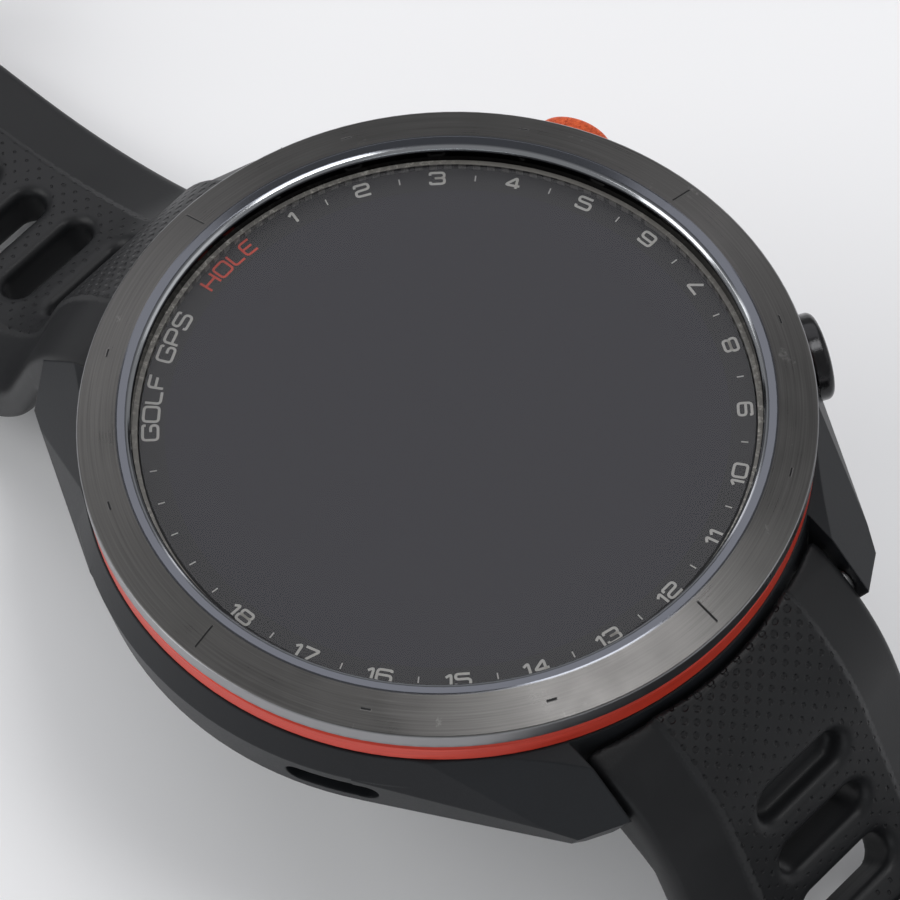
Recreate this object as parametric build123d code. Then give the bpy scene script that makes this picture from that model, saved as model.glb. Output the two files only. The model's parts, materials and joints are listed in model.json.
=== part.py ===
from build123d import *
import math
import os

# Golf GPS watch, lying open on its two strap halves.
# Millimetres.  +Z leaves the dial, +Y points to 12 o'clock, +X to 3 o'clock.
# The origin is the centre of the sensor window's flat face on the back of the case.
# Angles called clock angles run clockwise from 12 o'clock, seen from above.

# ---------------------------------------------------------------- driving dimensions
# case stack, heights above the sensor face
SENSOR_PROUD = 1.0        # sensor window stands this far out of the back cover
BACK_COVER_T = 1.2
CASE_DECK_Z = 9.5         # top of the case shoulder, where the accent ring sits
NECK_TOP_Z = CASE_DECK_Z + 1.8         # top of the neck inside the accent ring
BEZEL_EDGE_Z = CASE_DECK_Z + 3.2       # outer top edge of the bezel
BEZEL_CREST_Z = BEZEL_EDGE_Z + 0.9      # inner crest of the bezel
# case outline, radii
BEZEL_R = 23.5
BEZEL_CREST_R = 20.85
BEZEL_OPENING_R = 19.98
BEZEL_LIP_DROP = 0.52     # lip of the opening below the crest
DECK_R = 23.4
CREASE_R = 24.1           # widest line of the case side
CREASE_Z = 7.4
LOWER_EDGE_R = 23.5
LOWER_EDGE_Z = 3.9
BOTTOM_R = 21.8
NECK_R = 22.6
CAVITY_R = 19.2           # main hollow, round the board and battery
FRAME_SEAT_R = 20.5       # wider hollow above it, for the display frame
FRAME_SEAT_Z = 8.7
LEDGE_R = 17.6            # opening left by the ledge that the board lies on
LEDGE_T = 0.75
# lugs and strap joint
BAND_WIDTH = 22.0
LUG_GAP = 0.15            # each side, between lug and strap
LUG_SIDE_ANGLE = 61.5     # clock angle of the lug side's normal
LUG_SIDE_R = 23.85        # distance of that side from the dial axis
LUG_SIDE_SLOPE = 0.18
LUG_DECK_SLOPE = 0.48     # fall of the deck round the ring, out to the lug's facets
LUG_END_ANGLE = 27.4
LUG_END_R = 28.0
LUG_END_SLOPE = 0.45
LUG_TIP_Z = 5.7           # height at which the side and end distances hold
LUG_BOTTOM_Z = 2.4
LUG_FACET_POINT = (14.2, 24.2, 4.38)
LUG_FACET_NORMAL = (0.911, 0.94, 1.0)
LUG_RUN_OUT_ANGLE = 40.0  # clock angle, radius and height where the deck is full width
LUG_RUN_OUT_R = 24.6
LUG_RUN_OUT_Z = 9.0
PIN_R = 0.9
PIN_TIP_R = 0.55
PIN_TIP_LEN = 1.2
PIN_Y = 23.7
PIN_Z = 5.1
HUB_R = 2.1
HUB_CLEAR = 0.35
BORE_CLEAR = 0.05
# glass and display
LENS_R = 19.65
LENS_T = 1.0
DISPLAY_R = 18.6
DISPLAY_T = 1.3
ADHESIVE_T = 0.2
FRAME_FLOOR_T = 0.9
FRAME_CLEAR = 0.1
# accent ring
ACCENT_R = 23.3
ACCENT_T = 1.45
ACCENT_FIT = 0.05
# buttons: clock angle, cap radius, radius of the outer face
BUTTON_Z = 7.3
ACTION_ANGLE = 65.5
ACTION_CAP_R = 2.6
ACTION_FACE_R = 26.2
MENU_ANGLE = 119.5
MENU_CAP_R = 2.9
MENU_FACE_R = 25.1
CAP_SEAT_R = 22.7         # floor of the bore that guides the cap's boss
CAP_BOSS_R = 1.95         # boss behind the cap, which passes under the accent ring
CAP_RING_GAP = 0.15       # left between the pressed cap and the accent ring
BUTTON_TRAVEL = 0.5
CAP_CLEAR = 0.1
CAP_EDGE_R = 0.45
STEM_R = 0.8
STEM_CLEAR = 0.05
STEM_END_R = 18.3
SEAL_POCKET_R = 1.35
SEAL_POCKET_DEPTH = 1.0
SEAL_CLEAR = 0.03
CLIP_R = 1.3
CLIP_T = 0.35
SWITCH_W = 4.0
SWITCH_H = 2.6
SWITCH_DEPTH = 2.0
SWITCH_GAP = 0.1
# vent port in the side of the case
PORT_ANGLE = 245.3
PORT_Z = 5.65
PORT_LEN = 6.2
PORT_H = 1.9
PORT_DEPTH = 1.3
MEMBRANE_T = 0.3
# back cover and its fasteners
COVER_CLEAR = 0.1
COVER_R = 21.2
COVER_HALF_Y = 20.4
COVER_LEDGE_Z = 2.2
SCREW_PCD_R = 19.95
SCREW_ANGLES = (42.0, 138.0, 222.0, 318.0)
SCREW_HEAD_R = 1.0
SCREW_HEAD_T = 0.7
SCREW_R = 0.6
SCREW_LEN = 2.6
GASKET_W = 0.8
GASKET_H = 0.4
SENSOR_R = 10.9
SENSOR_FLANGE_W = 1.0
SENSOR_FLANGE_T = 0.4
SENSOR_BOARD_T = 0.55
PORT_PLATE_Y = 15.3
PORT_PLATE_X = 6.6
PORT_PLATE_W = 2.4
CONTACT_R = 0.45
CONTACT_PITCH = 1.5
CONTACT_COUNT = 4
# electronics
BOARD_T = 0.8
BATTERY_X = 24.0
BATTERY_Y = 22.0
BATTERY_T = 4.1
MOTOR_R = 3.4
MOTOR_T = 2.7
MOTOR_ANGLE = 200.0
MOTOR_PLACE_R = 15.5
ANTENNA_R = 19.0
ANTENNA_W = 1.0
ANTENNA_H = 0.8
# strap halves
STRAP_T = 3.6             # thickness along the middle
PLATEAU_HALF = 6.4        # half width of the raised middle
PLATEAU_STEP = 0.35
EDGE_DROP = 1.7           # strap edge below the raised middle
STRAP_TOP_START = (23.7, 8.95)
STRAP_BACK_SLOPE = 22.0   # degrees, where the strap end hugs the case
STRAP_START_SLOPE = 30.0
STRAP_STEEP_SLOPE = 67.0
STRAP_CROWN_R = 15.3
STRAP_END_R = 23.65       # round end of the strap, next to the case
SLOT_LEN = 7.6
SLOT_W = 2.4
SLOT_PITCH = 4.7
KEEPER_WALL = 1.2
TABLE_Z = -13.5           # surface that the open watch lies on
# buckle half, 12 o'clock
BUCKLE_FOOT_R = 7.4
BUCKLE_FOOT_SLOPE = 18.0
BUCKLE_SETTLE_R = 45.0
BUCKLE_STRAP_END = 92.0   # buckle pin's distance from the dial axis
BUCKLE_SLOT_START = 12.9
BUCKLE_SLOTS = 6
# tail half, 6 o'clock
TAIL_FOOT_R = 7.5
TAIL_END = 136.0
TAIL_TIP_R = 8.0
TAIL_SLOT_START = 9.9
TAIL_SLOTS = 21
# buckle
BUCKLE_PIN_R = 0.75
BUCKLE_HUB_R = 1.8
BUCKLE_ARM_T = 2.0
BUCKLE_GAP = 0.35
BUCKLE_REACH = 11.5
BUCKLE_BAR_R = 1.0
TONGUE_W = 7.0
TONGUE_T = 1.3
TONGUE_HUB_R = 1.6
TONGUE_NOTCH_GAP = 0.35
TONGUE_REST_GAP = 0.1
TONGUE_OVERHANG = 1.0
# keepers
KEEPER_WIDTH = 5.0
KEEPER_TAIL_SPACE = 4.3
KEEPER_SIDE = 0.35
FIXED_KEEPER_Y = 78.0
SLIDING_KEEPER_Y = 62.0
SLIDING_CLEAR = 0.2
# quick release latch
LATCH_W = 10.0
LATCH_LEN = 5.2
LATCH_T = 1.5
LATCH_TRAVEL = 1.8
LATCH_CLEAR = 0.15
LATCH_SETBACK = 3.6       # from the strap joint pin, along the underside
LATCH_SLOPE = 50.0
THUMB_LIP = 0.5

# ---------------------------------------------------------------- derived values
CASE_BOTTOM_Z = SENSOR_PROUD
LUG_INNER_X = BAND_WIDTH / 2 + LUG_GAP
LENS_BOTTOM_Z = NECK_TOP_Z
LENS_TOP_Z = LENS_BOTTOM_Z + LENS_T
BOARD_Z = COVER_LEDGE_Z + LEDGE_T
FAR = 80.0


def clock(angle):
    """Unit vector for a clock angle."""
    a = math.radians(angle)
    return Vector(math.sin(a), math.cos(a), 0)


def ring(outer, inner, z0, z1):
    """Flat ring between two radii and two heights."""
    body = Cylinder(outer, z1 - z0) - Cylinder(inner, z1 - z0 + 2)
    return Pos(0, 0, (z0 + z1) / 2) * body


def disc(radius, z0, z1):
    return Pos(0, 0, (z0 + z1) / 2) * Cylinder(radius, z1 - z0)


def turned(points):
    """Solid of revolution from (radius, height) points."""
    face = make_face(Plane.XZ * Polyline(*points, close=True))
    return revolve(face, Axis.Z)


def cut_beyond(solid, point, normal):
    """Remove what lies past a plane, on the side its normal points to."""
    plane = Plane(origin=point, z_dir=normal)
    return solid - plane * Pos(0, 0, FAR / 2) * Box(FAR, FAR, FAR)


def radial_plane(angle, radius, z):
    """Plane whose normal points outwards at a clock angle."""
    out = clock(angle)
    return Plane(origin=(out.X * radius, out.Y * radius, z), x_dir=(-out.Y, out.X, 0), z_dir=out)


def both_sides(solid):
    return solid + mirror(solid, about=Plane.YZ)


# ---------------------------------------------------------------- case
def lug_block():
    """One lug, at 1 o'clock; the other three are its mirror images."""
    side = clock(LUG_SIDE_ANGLE)
    tangent_y = side.Y * LUG_SIDE_R
    block = Pos(LUG_INNER_X, tangent_y, LUG_BOTTOM_Z) * Box(
        FAR / 4, 20, 10, align=(Align.MIN, Align.MIN, Align.MIN))
    shoulder = turned([(0, LUG_BOTTOM_Z - 1), (40, LUG_BOTTOM_Z - 1),
                       (DECK_R + 10, CASE_DECK_Z - 10 * LUG_DECK_SLOPE), (DECK_R, CASE_DECK_Z),
                       (0, CASE_DECK_Z)])
    block = block & shoulder
    block = cut_beyond(block, (side.X * LUG_SIDE_R, side.Y * LUG_SIDE_R, LUG_TIP_Z),
                       (side.X, side.Y, -LUG_SIDE_SLOPE))
    end = clock(LUG_END_ANGLE)
    block = cut_beyond(block, (end.X * LUG_END_R, end.Y * LUG_END_R, LUG_TIP_Z),
                       (end.X, end.Y, -LUG_END_SLOPE))
    # sloping top facet that runs out to the lug's tip
    block = cut_beyond(block, LUG_FACET_POINT, LUG_FACET_NORMAL)
    # facet that lets the deck fall away to the crease where the lug leaves the round case
    edge = side * DECK_R + Vector(0, 0, CASE_DECK_Z)
    crease = side * CREASE_R + Vector(0, 0, CREASE_Z)
    run_out = clock(LUG_RUN_OUT_ANGLE) * LUG_RUN_OUT_R + Vector(0, 0, LUG_RUN_OUT_Z)
    normal = (crease - edge).cross(run_out - edge)
    block = cut_beyond(block, edge, normal)
    # under-bevel, in line with the lower bevel of the case
    block = cut_beyond(block, (side.X * LOWER_EDGE_R, side.Y * LOWER_EDGE_R, LOWER_EDGE_Z),
                       (side.X, side.Y, -0.8))
    return block


def strap_root_pocket(sign):
    """Room between two lugs for the strap's end to turn about its pin."""
    width = 2 * LUG_INNER_X
    groove_r = HUB_R + HUB_CLEAR
    groove = Pos(0, sign * PIN_Y, PIN_Z) * Rot(0, 90, 0) * Cylinder(groove_r, width)
    wall = PIN_Y - groove_r
    below = Pos(0, sign * (wall + 10), PIN_Z - 10) * Box(width, 20, 20)
    outer = Pos(0, sign * 30, 0) * Box(width, 20, 60)
    beyond = outer - disc(DECK_R, -30, 30)
    above_pin = Pos(0, sign * 30, PIN_Z + 10) * Box(width, 60, 20) & (
        ring(60, DECK_R, PIN_Z, CASE_DECK_Z + 1))
    return groove + below + beyond + above_pin


def case_body():
    body = turned([
        (0, CASE_BOTTOM_Z), (BOTTOM_R, CASE_BOTTOM_Z), (LOWER_EDGE_R, LOWER_EDGE_Z),
        (CREASE_R, CREASE_Z), (DECK_R, CASE_DECK_Z), (NECK_R, CASE_DECK_Z),
        (NECK_R, NECK_TOP_Z), (0, NECK_TOP_Z)])
    lug = lug_block()
    lugs = both_sides(lug)
    lugs = lugs + mirror(lugs, about=Plane.XZ)
    body = body + lugs
    body = body - strap_root_pocket(1) - strap_root_pocket(-1)
    # hollow for the works
    body = body - disc(CAVITY_R, BOARD_Z, FRAME_SEAT_Z + 1)
    body = body - disc(FRAME_SEAT_R, FRAME_SEAT_Z, NECK_TOP_Z + 1)
    body = body - disc(LEDGE_R, CASE_BOTTOM_Z - 1, BOARD_Z + 1)
    recess = disc(COVER_R + COVER_CLEAR, CASE_BOTTOM_Z - 1, COVER_LEDGE_Z)
    body = body - (recess & Box(60, 2 * (COVER_HALF_Y + COVER_CLEAR), 20))
    # back screw holes
    for angle in SCREW_ANGLES:
        out = clock(angle) * SCREW_PCD_R
        hole = Cylinder(SCREW_R, SCREW_LEN - BACK_COVER_T + SCREW_HEAD_T,
                        align=(Align.CENTER, Align.CENTER, Align.MIN))
        body = body - Pos(out.X, out.Y, COVER_LEDGE_Z - 0.01) * hole
    # blind holes for the strap pins
    for sign in (1, -1):
        pin_hole = Rot(0, 90, 0) * Cylinder(PIN_TIP_R, 2 * (LUG_INNER_X + PIN_TIP_LEN))
        body = body - Pos(0, sign * PIN_Y, PIN_Z) * pin_hole
    # button bores
    for angle, cap_r in ((ACTION_ANGLE, ACTION_CAP_R), (MENU_ANGLE, MENU_CAP_R)):
        seat = radial_plane(angle, CAP_SEAT_R, BUTTON_Z)
        body = body - seat * Pos(0, 0, 5) * Cylinder(CAP_BOSS_R + CAP_CLEAR, 10)
        rim = radial_plane(angle, cap_inner_radius() - BUTTON_TRAVEL - 0.05, BUTTON_Z)
        body = body - rim * Pos(0, 0, 5) * Cylinder(cap_r + CAP_CLEAR, 10)
        body = body - seat * Cylinder(STEM_R + STEM_CLEAR, 12)
        pocket = Pos(0, 0, -SEAL_POCKET_DEPTH / 2) * Cylinder(SEAL_POCKET_R, SEAL_POCKET_DEPTH)
        body = body - seat * pocket
    # vent port and its passage to the inside
    face_r = port_face_radius()
    mouth = radial_plane(PORT_ANGLE, face_r - PORT_DEPTH, PORT_Z)
    slot = extrude(SlotOverall(PORT_LEN, PORT_H), PORT_DEPTH + 2)
    body = body - mouth * slot
    body = body - mouth * Cylinder(0.6, 8)
    return body


def port_face_radius():
    """Radius of the case side at the height of the vent port."""
    share = (PORT_Z - LOWER_EDGE_Z) / (CREASE_Z - LOWER_EDGE_Z)
    return LOWER_EDGE_R + share * (CREASE_R - LOWER_EDGE_R)


def vent_membrane():
    floor = radial_plane(PORT_ANGLE, port_face_radius() - PORT_DEPTH, PORT_Z)
    return floor * extrude(SlotOverall(PORT_LEN - 0.2, PORT_H - 0.2), MEMBRANE_T)


# ---------------------------------------------------------------- bezel, glass and display
def bezel_ring():
    skirt_z = NECK_TOP_Z + 0.12
    return turned([
        (BEZEL_OPENING_R, NECK_TOP_Z), (NECK_R, NECK_TOP_Z), (NECK_R, skirt_z),
        (BEZEL_R - 0.05, skirt_z), (BEZEL_R, BEZEL_EDGE_Z - 0.1), (BEZEL_R - 0.1, BEZEL_EDGE_Z),
        (BEZEL_CREST_R, BEZEL_CREST_Z), (BEZEL_OPENING_R + 0.40, BEZEL_CREST_Z - 0.09),
        (BEZEL_OPENING_R + 0.22, BEZEL_CREST_Z - 0.17), (BEZEL_OPENING_R + 0.09, BEZEL_CREST_Z - 0.31),
        (BEZEL_OPENING_R, BEZEL_CREST_Z - BEZEL_LIP_DROP)])


def accent_ring():
    top = CASE_DECK_Z + ACCENT_T
    return turned([
        (NECK_R + ACCENT_FIT, CASE_DECK_Z), (ACCENT_R - 0.15, CASE_DECK_Z), (ACCENT_R, CASE_DECK_Z + 0.15),
        (ACCENT_R, top - 0.15), (ACCENT_R - 0.15, top), (NECK_R + ACCENT_FIT, top)])


def bezel_gasket():
    return ring(BEZEL_OPENING_R, LENS_R, NECK_TOP_Z, LENS_TOP_Z - 0.15)


def lens():
    body = disc(LENS_R, LENS_BOTTOM_Z, LENS_TOP_Z)
    return chamfer(body.edges().group_by(Axis.Z)[-1], 0.12)


def display_panel():
    return disc(DISPLAY_R, LENS_BOTTOM_Z - DISPLAY_T, LENS_BOTTOM_Z)


def lens_adhesive():
    return ring(LENS_R - 0.05, DISPLAY_R + 0.3, LENS_BOTTOM_Z - ADHESIVE_T, LENS_BOTTOM_Z)


def display_frame():
    outer = FRAME_SEAT_R - FRAME_CLEAR
    top = LENS_BOTTOM_Z - ADHESIVE_T
    body = disc(outer, FRAME_SEAT_Z, top)
    body = body - disc(DISPLAY_R + 0.3, FRAME_SEAT_Z + FRAME_FLOOR_T, top + 1)
    # passage for the display's flexible circuit
    return body - Pos(0, -15.5, FRAME_SEAT_Z) * Box(12, 2.0, 4)


# ---------------------------------------------------------------- electronics
def main_board():
    board = disc(CAVITY_R - 0.3, BOARD_Z, BOARD_Z + BOARD_T)
    top = BOARD_Z + BOARD_T
    chip_sizes = ((0, 15.3, 7.0, 4.5), (-15.2, 3.5, 3.6, 6.0), (-14.6, -5.5, 3.4, 3.4), (4.0, -15.0, 6.0, 4.0))
    for x, y, size_x, size_y in chip_sizes:
        board = board + Pos(x, y, top + 0.4) * Box(size_x, size_y, 0.8)
    return board


def battery():
    cell = Box(BATTERY_X, BATTERY_Y, BATTERY_T)
    cell = fillet(cell.edges().filter_by(Axis.Z), 3.0)
    return Pos(0, 0, FRAME_SEAT_Z - BATTERY_T / 2) * cell


def vibration_motor():
    place = clock(MOTOR_ANGLE) * MOTOR_PLACE_R
    return Pos(place.X, place.Y, 0) * disc(MOTOR_R, FRAME_SEAT_Z - MOTOR_T, FRAME_SEAT_Z)


def antenna_ring():
    band = ring(ANTENNA_R, ANTENNA_R - ANTENNA_W, FRAME_SEAT_Z - ANTENNA_H, FRAME_SEAT_Z)
    feed_gap = Pos(0, ANTENNA_R, FRAME_SEAT_Z) * Box(3.0, 4.0, 4.0)
    for angle in (ACTION_ANGLE, MENU_ANGLE):
        feed_gap = feed_gap + radial_plane(angle, ANTENNA_R, FRAME_SEAT_Z) * Box(7.0, 4.0, 6.0)
    place = clock(MOTOR_ANGLE) * MOTOR_PLACE_R
    motor_gap = Pos(place.X, place.Y, FRAME_SEAT_Z) * Cylinder(MOTOR_R + 0.3, 4)
    return band - feed_gap - motor_gap


# ---------------------------------------------------------------- back
def cover_blank(z0, z1):
    return disc(COVER_R, z0, z1) & Box(60, 2 * COVER_HALF_Y, 20)


def back_cover():
    body = cover_blank(CASE_BOTTOM_Z, COVER_LEDGE_Z)
    step_z = COVER_LEDGE_Z - SENSOR_FLANGE_T
    body = body - disc(SENSOR_R + 0.1, CASE_BOTTOM_Z - 1, COVER_LEDGE_Z + 1)
    body = body - disc(SENSOR_R + SENSOR_FLANGE_W + 0.1, step_z, COVER_LEDGE_Z + 1)
    body = body - gasket_ring(0.0)
    body = body - Pos(0, PORT_PLATE_Y, CASE_BOTTOM_Z) * Box(PORT_PLATE_X, PORT_PLATE_W, 6)
    for angle in SCREW_ANGLES:
        out = clock(angle) * SCREW_PCD_R
        body = body - Pos(out.X, out.Y, CASE_BOTTOM_Z) * Cylinder(SCREW_R + 0.1, 6)
        head = Cylinder(SCREW_HEAD_R + 0.1, 2 * SCREW_HEAD_T)
        body = body - Pos(out.X, out.Y, CASE_BOTTOM_Z) * head
    return body


def gasket_ring(clear):
    outer = LEDGE_R + 0.6 + GASKET_W
    return ring(outer - clear, outer - GASKET_W + clear, COVER_LEDGE_Z - GASKET_H, COVER_LEDGE_Z)


def back_screws():
    group = []
    for angle in SCREW_ANGLES:
        out = clock(angle) * SCREW_PCD_R
        head = disc(SCREW_HEAD_R, CASE_BOTTOM_Z, CASE_BOTTOM_Z + SCREW_HEAD_T)
        shank = disc(SCREW_R - 0.05, CASE_BOTTOM_Z, CASE_BOTTOM_Z + SCREW_LEN)
        drive = Pos(0, 0, CASE_BOTTOM_Z) * extrude(RegularPolygon(0.5, 6), 0.4)
        group.append(Pos(out.X, out.Y, 0) * (head + shank - drive))
    return Compound(children=group)


def sensor_window():
    step_z = COVER_LEDGE_Z - SENSOR_FLANGE_T
    return turned([
        (0, 0), (SENSOR_R - 1.4, 0), (SENSOR_R - 0.6, 0.35), (SENSOR_R, CASE_BOTTOM_Z),
        (SENSOR_R, step_z), (SENSOR_R + SENSOR_FLANGE_W, step_z),
        (SENSOR_R + SENSOR_FLANGE_W, COVER_LEDGE_Z - 0.05), (0, COVER_LEDGE_Z - 0.05)])


def sensor_board():
    low = COVER_LEDGE_Z - 0.05
    return disc(SENSOR_R - 1.0, low, low + SENSOR_BOARD_T)


def charge_port():
    plate = Pos(0, PORT_PLATE_Y, CASE_BOTTOM_Z + BACK_COVER_T / 2) * Box(
        PORT_PLATE_X, PORT_PLATE_W, BACK_COVER_T)
    recess = Pos(0, PORT_PLATE_Y, CASE_BOTTOM_Z) * Box(PORT_PLATE_X - 0.8, PORT_PLATE_W - 0.8, 1.2)
    plate = plate - recess
    for x in contact_places():
        plate = plate - Pos(x, PORT_PLATE_Y, CASE_BOTTOM_Z) * Cylinder(CONTACT_R, 6)
    return plate


def contact_places():
    first = -CONTACT_PITCH * (CONTACT_COUNT - 1) / 2
    return [first + CONTACT_PITCH * i for i in range(CONTACT_COUNT)]


def charge_contacts():
    pins = []
    for x in contact_places():
        pin = disc(CONTACT_R, CASE_BOTTOM_Z + 0.2, BOARD_Z)
        pins.append(Pos(x, PORT_PLATE_Y, 0) * pin)
    return Compound(children=pins)


# ---------------------------------------------------------------- buttons
def cap_inner_radius():
    """Radius of the cap's back face at rest, clear of the accent ring when pressed."""
    return ACCENT_R + CAP_RING_GAP + BUTTON_TRAVEL


def button_cap(angle, cap_r, face_r):
    """Cap, boss and stem in one turned piece, on its own radial axis."""
    inner_r = CAP_SEAT_R + BUTTON_TRAVEL + 0.15
    seat = radial_plane(angle, inner_r, BUTTON_Z)
    height = face_r - cap_inner_radius()
    head = Pos(0, 0, cap_inner_radius() - inner_r) * Cylinder(
        cap_r, height, align=(Align.CENTER, Align.CENTER, Align.MIN))
    head = fillet(head.edges().group_by(Axis.Z)[-1], CAP_EDGE_R)
    boss_len = cap_inner_radius() - inner_r + 0.3
    head = head + Cylinder(CAP_BOSS_R, boss_len, align=(Align.CENTER, Align.CENTER, Align.MIN))
    stem_len = inner_r - STEM_END_R
    stem = Pos(0, 0, -stem_len) * Cylinder(STEM_R, stem_len + 0.5,
                                           align=(Align.CENTER, Align.CENTER, Align.MIN))
    groove_z = -(inner_r - CAVITY_R) - 0.15 - CLIP_T
    groove = Pos(0, 0, groove_z) * Cylinder(STEM_R + 1, CLIP_T,
                                            align=(Align.CENTER, Align.CENTER, Align.MIN))
    groove = groove - Cylinder(STEM_R - 0.25, 20)
    return seat * (head + stem - groove)


def button_seal(angle):
    seat = radial_plane(angle, CAP_SEAT_R, BUTTON_Z)
    section_r = (SEAL_POCKET_R - STEM_R - SEAL_CLEAR) / 2
    seal = Torus(STEM_R + SEAL_CLEAR + section_r, section_r - 0.01)
    return seat * Pos(0, 0, -SEAL_POCKET_DEPTH / 2) * seal


def button_clip(angle):
    """C-shaped clip on the stem, just inside the case wall."""
    seat = radial_plane(angle, CAVITY_R - 0.15 - CLIP_T, BUTTON_Z)
    clip = Cylinder(CLIP_R, CLIP_T, align=(Align.CENTER, Align.CENTER, Align.MIN))
    clip = clip - Cylinder(STEM_R - 0.25, 4)
    clip = clip - Pos(0, -CLIP_R, 0) * Box(0.9, 2 * CLIP_R - 0.6, 4)
    return seat * clip


def tact_switch(angle):
    """Switch that the stem presses, on a bracket standing on the board."""
    front_r = STEM_END_R - SWITCH_GAP
    seat = radial_plane(angle, front_r, BUTTON_Z)
    switch = Pos(0, 0, -SWITCH_DEPTH / 2 - BUTTON_TRAVEL) * Box(SWITCH_H, SWITCH_W, SWITCH_DEPTH)
    plunger = Pos(0, 0, -BUTTON_TRAVEL - 0.2) * Cylinder(
        0.7, 0.2 + SWITCH_GAP / 2, align=(Align.CENTER, Align.CENTER, Align.MIN))
    leg_h = BUTTON_Z - BOARD_Z - BOARD_T
    leg = Pos(0, 0, -SWITCH_DEPTH / 2 - BUTTON_TRAVEL) * Box(SWITCH_H, SWITCH_W, SWITCH_DEPTH * 0.6)
    body = seat * (Rot(0, 0, 90) * (switch + plunger))
    out = clock(angle) * (front_r - SWITCH_DEPTH / 2 - BUTTON_TRAVEL)
    post = Pos(out.X, out.Y, BOARD_Z + BOARD_T + leg_h / 2) * Rot(0, 0, -angle) * Box(
        SWITCH_W * 0.8, 0.8, leg_h)
    return body + post


# ---------------------------------------------------------------- strap path
class StrapPath:
    """Side view of a strap half: the middle of its top face, from the case to its end.

    It is a crown over the lugs, a steep straight run and a foot that lays it flat.
    """

    def __init__(self, flat_top_z, foot_r, settle_slope, settle_r, end_y):
        self.flat_top_z = flat_top_z
        self.foot_r = foot_r
        self.settle_slope = settle_slope
        self.settle_r = settle_r
        self.end_y = end_y
        steep = math.radians(STRAP_STEEP_SLOPE)
        start = math.radians(STRAP_START_SLOPE)
        settle = math.radians(settle_slope)
        y0, z0 = STRAP_TOP_START
        crown_y = y0 + STRAP_CROWN_R * (math.sin(steep) - math.sin(start))
        crown_z = z0 - STRAP_CROWN_R * (math.cos(start) - math.cos(steep))
        drop = crown_z - flat_top_z
        foot_drop = foot_r * (math.cos(settle) - math.cos(steep))
        settle_drop = settle_r * (1 - math.cos(settle))
        run = (drop - foot_drop - settle_drop) / math.sin(steep)
        self.crown_end = (crown_y, crown_z)
        # pieces: kind, length, slope in, slope out (radians, positive is downwards)
        self.pieces = [("arc", STRAP_CROWN_R * (steep - start), start, steep),
                       ("line", run, steep, steep),
                       ("arc", foot_r * (steep - settle), steep, settle)]
        if settle > 0:
            self.pieces.append(("arc", settle_r * settle, settle, 0.0))
        y_flat = self.locate(sum(p[1] for p in self.pieces))[0]
        self.pieces.append(("line", end_y - y_flat, 0.0, 0.0))

    def locate(self, s):
        """Point and slope at a distance s along the path."""
        y, z = STRAP_TOP_START
        slope = self.pieces[0][2]
        for kind, length, a, b in self.pieces:
            d = min(s, length)
            if kind == "line":
                y += d * math.cos(a)
                z -= d * math.sin(a)
                slope = a
            elif d > 0:
                radius = length / abs(b - a)
                slope = a + (b - a) * d / length
                side = 1 if b > a else -1
                y += side * radius * (math.sin(slope) - math.sin(a))
                z -= side * radius * (math.cos(a) - math.cos(slope))
            s -= d
            if s <= 0:
                break
        return y, z, slope

    def edges(self, depth, first):
        """Edges of the path shifted inwards by depth, from a piece onwards."""
        made = []
        s = sum(p[1] for p in self.pieces[:first])
        for kind, length, a, b in self.pieces[first:]:
            marks = (s, s + length / 2, s + length)
            pts = [self.inside(m, depth) for m in marks]
            made.append(Line(pts[0], pts[2]) if kind == "line" else ThreePointArc(*pts))
            s += length
        return made

    def inside(self, s, depth):
        y, z, slope = self.locate(s)
        return (y - depth * math.sin(slope), z - depth * math.cos(slope))


def strap_root(path):
    """Strap end: the shoulder that hugs the case and the barrel on the lug pin."""
    back = math.radians(STRAP_BACK_SLOPE)
    y0, z0 = STRAP_TOP_START
    reach = 4.0
    shoulder = (y0 - reach * math.cos(back), z0 + reach * math.sin(back))
    under = path.inside(path.pieces[0][1], STRAP_T)
    outline = [Line(shoulder, (y0, z0)), path.edges(0.0, 0)[0], Line(path.crown_end, under)]
    barrel = CenterArc((PIN_Y, PIN_Z), HUB_R, 0, 360)
    face = make_hull(outline + [barrel])
    # nothing hangs inside the pin's own radius below the pin
    side = Plane.YZ * face
    block = extrude(side, BAND_WIDTH / 2, both=True)
    lower = Pos(0, PIN_Y - 10, PIN_Z - 10) * Box(60, 20, 20)
    lower = lower - Pos(0, PIN_Y, PIN_Z) * Rot(0, 90, 0) * Cylinder(HUB_R, 60)
    block = block - lower
    return block - disc(STRAP_END_R, -40, 40)


def strap_band(path, tip_r):
    """The rest of the strap half, with square edges."""
    top = path.edges(0.0, 1)
    bottom = path.edges(STRAP_T, 1)
    s0 = path.pieces[0][1]
    s1 = sum(p[1] for p in path.pieces)
    ends = [Line(path.inside(s0, 0.0), path.inside(s0, STRAP_T)),
            Line(path.inside(s1, 0.0), path.inside(s1, STRAP_T))]
    face = make_face(Curve() + top + bottom + ends)
    band = extrude(Plane.YZ * face, BAND_WIDTH / 2, both=True)
    if tip_r:
        tip = band.edges().filter_by(Axis.Z).group_by(Axis.Y)[-1]
        band = fillet(tip, tip_r)
    return band


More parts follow.
